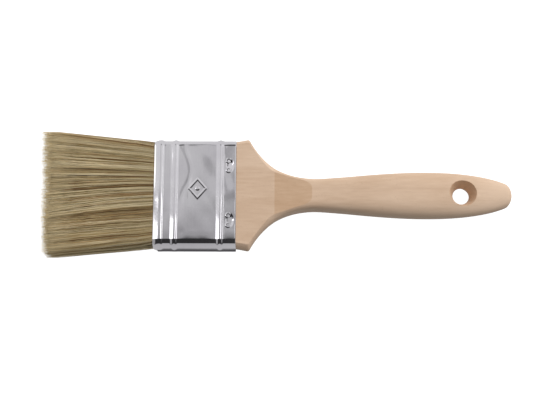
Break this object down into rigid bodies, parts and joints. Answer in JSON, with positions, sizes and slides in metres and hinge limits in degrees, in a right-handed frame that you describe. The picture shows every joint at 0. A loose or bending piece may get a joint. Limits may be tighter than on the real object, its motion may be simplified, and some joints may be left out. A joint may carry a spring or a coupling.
{
  "type": "flat paint brush",
  "caption": "Flat paint brush with a shaped beech handle, hanging hole, beaded plated ferrule and springy natural bristles.",
  "frame": {"origin": "middle of the brush's length and width, at the level of the surface it lies on", "axes": "+X along the brush from the bristle tips to the hanging hole, +Y across its width, +Z out of its front face"},
  "size_m": [0.252, 0.0692, 0.017],
  "materials": {
    "handle_wood": "raw sanded beech, fine pores, no varnish",
    "ferrule_plate": "bright plated thin sheet steel with rolled beads",
    "resin": "hardened amber setting resin",
    "plug_wood": "rough sawn softwood strip",
    "bristle": "light grey-brown natural bristle with pale split tips"
  },
  "bodies": {
    "handle_body": {"handle": "handle_wood", "ferrule": "ferrule_plate", "setting_resin": "resin", "spacer_plug_front": "plug_wood", "spacer_plug_back": "plug_wood", "bristle_roots_front": "bristle", "bristle_roots_middle": "bristle", "bristle_roots_back": "bristle"},
    "bristle_tuft": {"bristles_front": "bristle", "bristles_middle": "bristle", "bristles_back": "bristle"}
  },
  "joints": [
    {"name": "bristle_flex", "type": "hinge", "parent": "handle_body", "child": "bristle_tuft", "pos_m": [-0.0764, 0, 0.0085], "axis": [0, 1, 0], "range_deg": [-35, 35], "stiffness_Nm_per_rad": 0.45}
  ]
}
